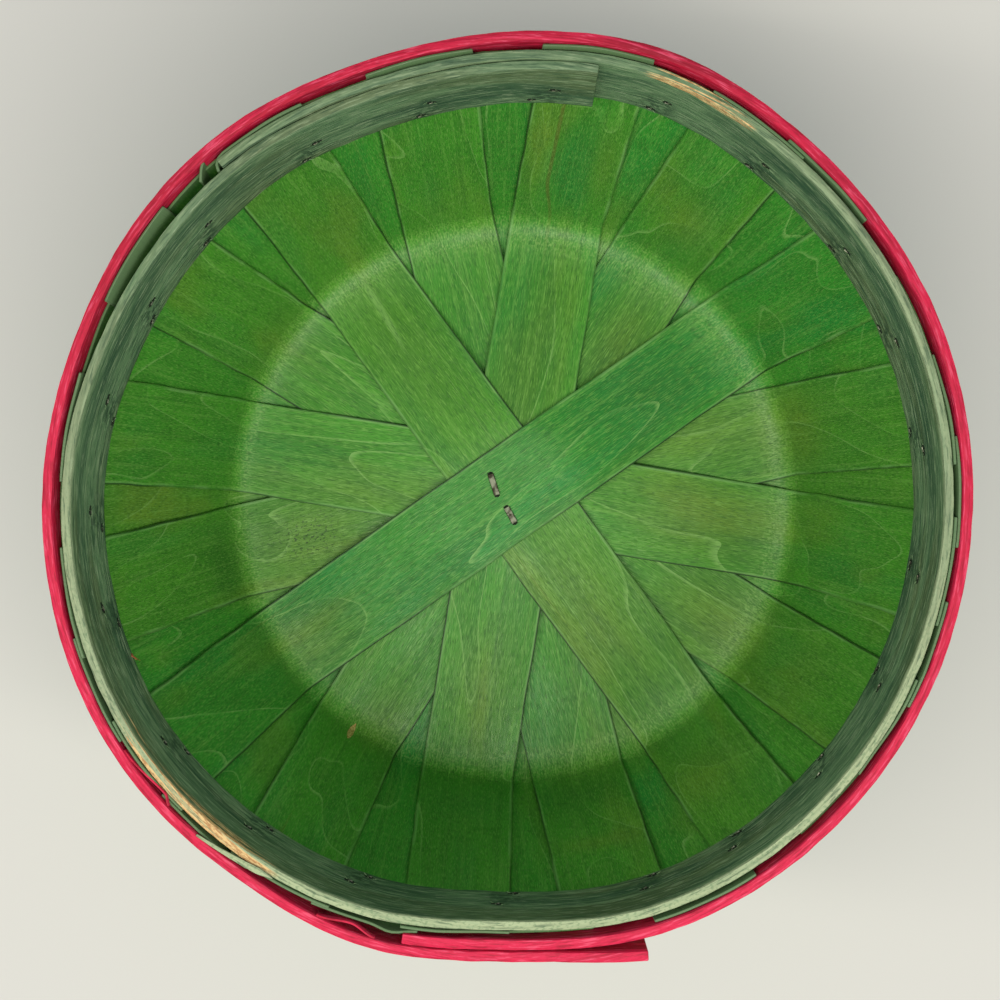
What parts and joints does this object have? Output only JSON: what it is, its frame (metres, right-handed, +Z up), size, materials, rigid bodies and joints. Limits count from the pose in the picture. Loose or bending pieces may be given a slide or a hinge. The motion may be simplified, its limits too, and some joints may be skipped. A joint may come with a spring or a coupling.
{
  "type": "round splint fruit basket",
  "caption": "Empty round basket of crossing green wood veneer staves, clamped at the rim between an inner and an outer lapped hoop, with a flat floor to stand on.",
  "frame": {"origin": "on the rim's axis, on the underside of its lowest stave, where it stands", "axes": "+Z up through the open mouth; +Y towards the side that the picture shows at its top, +X to its right"},
  "size_m": [0.3006, 0.3007, 0.1704],
  "materials": {
    "green_veneer": "green-stained rotary-cut veneer, satin, with fine pores",
    "green_hoop": "faded green stain on a coarse sawn strip",
    "red_hoop": "red stain on a coarse sawn strip",
    "staple_wire": "dull tarnished flat wire"
  },
  "bodies": {
    "root": {"outer_stave_1": "green_veneer", "outer_stave_2": "green_veneer", "outer_stave_3": "green_veneer", "outer_stave_4": "green_veneer", "outer_stave_5": "green_veneer", "outer_stave_6": "green_veneer", "outer_stave_7": "green_veneer", "outer_stave_8": "green_veneer", "inner_stave_1": "green_veneer", "inner_stave_2": "green_veneer", "inner_stave_3": "green_veneer", "inner_stave_4": "green_veneer", "inner_stave_5": "green_veneer", "inner_stave_6": "green_veneer", "inner_stave_7": "green_veneer", "inner_stave_8": "green_veneer", "inner_hoop": "green_hoop", "outer_hoop": "red_hoop", "rim_staple_01": "staple_wire", "rim_staple_02": "staple_wire", "rim_staple_03": "staple_wire", "rim_staple_04": "staple_wire", "rim_staple_05": "staple_wire", "rim_staple_06": "staple_wire", "rim_staple_07": "staple_wire", "rim_staple_08": "staple_wire", "rim_staple_09": "staple_wire", "rim_staple_10": "staple_wire", "rim_staple_11": "staple_wire", "rim_staple_12": "staple_wire", "rim_staple_13": "staple_wire", "rim_staple_14": "staple_wire", "rim_staple_15": "staple_wire", "rim_staple_16": "staple_wire", "rim_staple_17": "staple_wire", "rim_staple_18": "staple_wire", "rim_staple_19": "staple_wire", "rim_staple_20": "staple_wire", "rim_staple_21": "staple_wire", "rim_staple_22": "staple_wire", "floor_staple_1": "staple_wire", "floor_staple_2": "staple_wire"}
  },
  "joints": []
}
